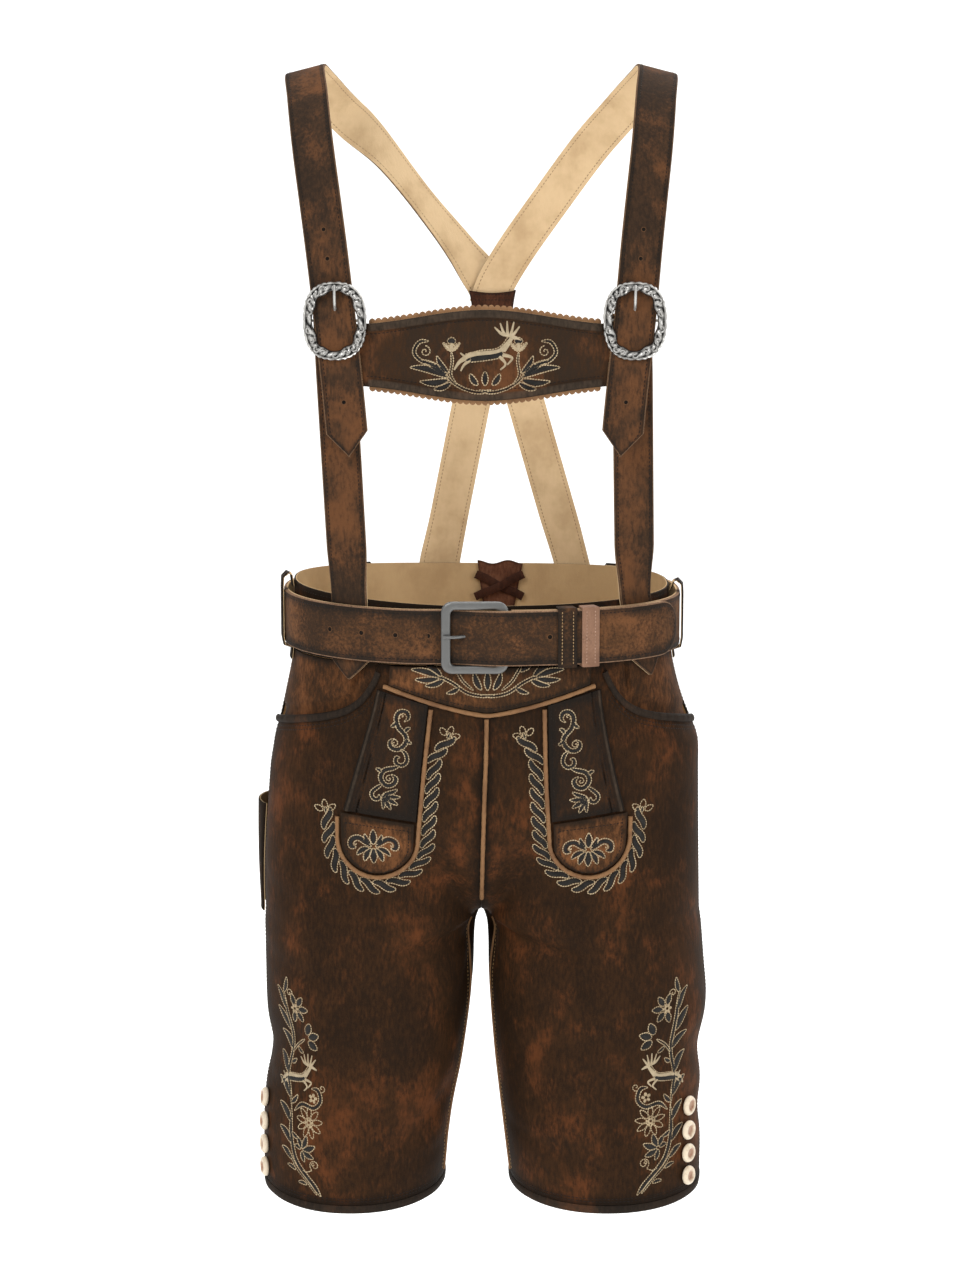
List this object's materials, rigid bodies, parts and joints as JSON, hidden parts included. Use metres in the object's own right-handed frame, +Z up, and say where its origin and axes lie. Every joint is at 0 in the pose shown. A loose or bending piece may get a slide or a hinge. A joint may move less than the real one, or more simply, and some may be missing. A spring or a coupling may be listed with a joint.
{
  "type": "folk trousers",
  "caption": "Alpine leather knee breeches with a drop flap, a buckled belt, embroidered front and H-shaped braces.",
  "frame": {"origin": "centre of the wearer's waist at the middle height of the belt", "axes": "+Z up towards the shoulders, -Y to the wearer's front, +X to the wearer's left"},
  "size_m": [0.3785, 0.2658, 0.9356],
  "materials": {
    "hide": "worn, half matt",
    "band": "suede, lined",
    "rust": "waxed",
    "thong": "waxed",
    "piping": "natural",
    "silver": "antiqued",
    "pewter": "aged",
    "horn": "polished horn"
  },
  "bodies": {
    "root": {"front_right": "hide", "back_right": "hide", "hip_piece_right": "hide", "pocket_lip_right": "hide", "hem_binding_right": "hide", "waistband_back_right": "band", "flap_strip_right": "hide", "flap_tab_right": "hide", "flap_piping_right": "piping", "brace_upper_right": "hide", "brace_lower_right": "hide", "brace_rear_right": "hide", "brace_buckle_right": "silver", "brace_prong_right": "silver", "belt_loop_side_right": "hide", "belt_loop_back_right": "hide", "button_right_1": "horn", "button_right_2": "horn", "button_right_3": "horn", "button_right_4": "horn", "front_left": "hide", "back_left": "hide", "hip_piece_left": "hide", "pocket_lip_left": "hide", "hem_binding_left": "hide", "waistband_back_left": "band", "flap_strip_left": "hide", "flap_tab_left": "hide", "flap_piping_left": "piping", "brace_upper_left": "hide", "brace_lower_left": "hide", "brace_rear_left": "hide", "brace_buckle_left": "silver", "brace_prong_left": "silver", "belt_loop_side_left": "hide", "belt_loop_back_left": "hide", "button_left_1": "horn", "button_left_2": "horn", "button_left_3": "horn", "button_left_4": "horn", "waistband_front": "band", "back_gusset": "rust", "back_lace_under": "thong", "back_lace_over": "thong", "flap_bib": "hide", "flap_bib_piping": "piping", "centre_front_piping": "piping", "knife_pocket": "hide", "belt_front": "hide", "belt_rear": "hide", "belt_buckle": "pewter", "belt_prong": "pewter", "belt_keeper_stitched": "hide", "belt_keeper_plain": "piping", "back_patch_inner": "rust", "back_patch_outer": "rust", "chest_bar": "hide", "chest_bar_trim_upper": "piping", "chest_bar_trim_lower": "piping"}
  },
  "joints": []
}
